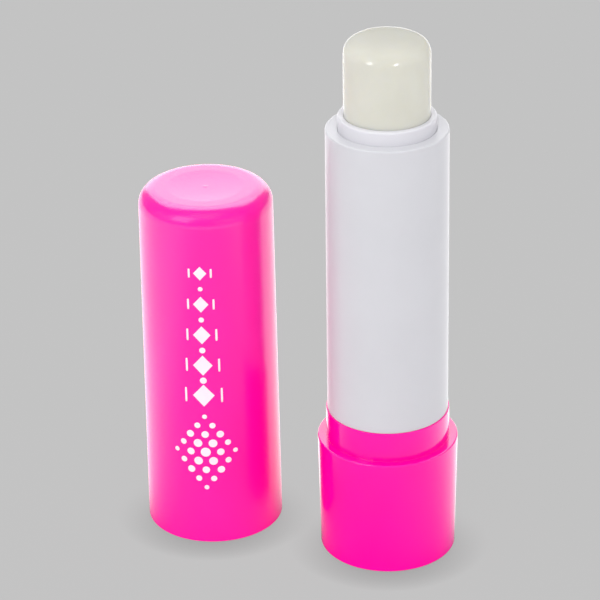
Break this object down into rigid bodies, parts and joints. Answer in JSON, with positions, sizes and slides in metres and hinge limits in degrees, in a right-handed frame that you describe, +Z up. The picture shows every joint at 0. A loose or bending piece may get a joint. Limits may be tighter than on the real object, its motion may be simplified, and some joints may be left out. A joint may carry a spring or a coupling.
{
  "type": "lip balm stick",
  "caption": "Round swivel-up lip balm stick, opened and partly wound out, with its tapered cap standing on its mouth beside it.",
  "frame": {"origin": "centre of the stick's foot, on the surface that it stands on", "axes": "+Z up along the stick, from the foot towards the balm; +X to the right and +Y to the back, with the cap standing at the left, a little behind"},
  "size_m": [0.0438, 0.0282, 0.0757],
  "materials": {
    "cap_pink": "moulded polypropylene, glossy pink",
    "knob_pink": "moulded polypropylene, glossy pink",
    "barrel_white": "moulded polypropylene, satin white",
    "tube_white": "moulded polypropylene, satin white",
    "carrier_natural": "moulded acetal, natural",
    "cam_natural": "moulded acetal, natural",
    "wax": "poured wax balm, translucent ivory with a soft sheen",
    "print_white": "pad-printed white ink on the cap"
  },
  "bodies": {
    "barrel": {"barrel": "barrel_white", "inner_tube": "tube_white"},
    "base": {"base_knob": "knob_pink", "cam_sleeve": "cam_natural"},
    "bar": {"carrier": "carrier_natural", "balm": "wax"},
    "cap": {"cap": "cap_pink"}
  },
  "joints": [
    {"name": "knob_turn", "type": "hinge", "parent": "barrel", "child": "base", "pos_m": [0, 0, 0], "axis": [0, 0, 1], "range_deg": [-287.5, 725]},
    {"name": "balm_rise", "type": "slide", "parent": "barrel", "child": "bar", "axis": [0, 0, 1], "range_m": [-0.0115, 0.029]},
    {"name": "cap_pull", "type": "slide", "parent": "barrel", "child": "cap", "axis": [0, 0, 1], "range_m": [0, 0.0477]}
  ],
  "couplings": [
    {"joint": "balm_rise", "follows": "knob_turn", "m_per_rad": 0.0022918}
  ]
}
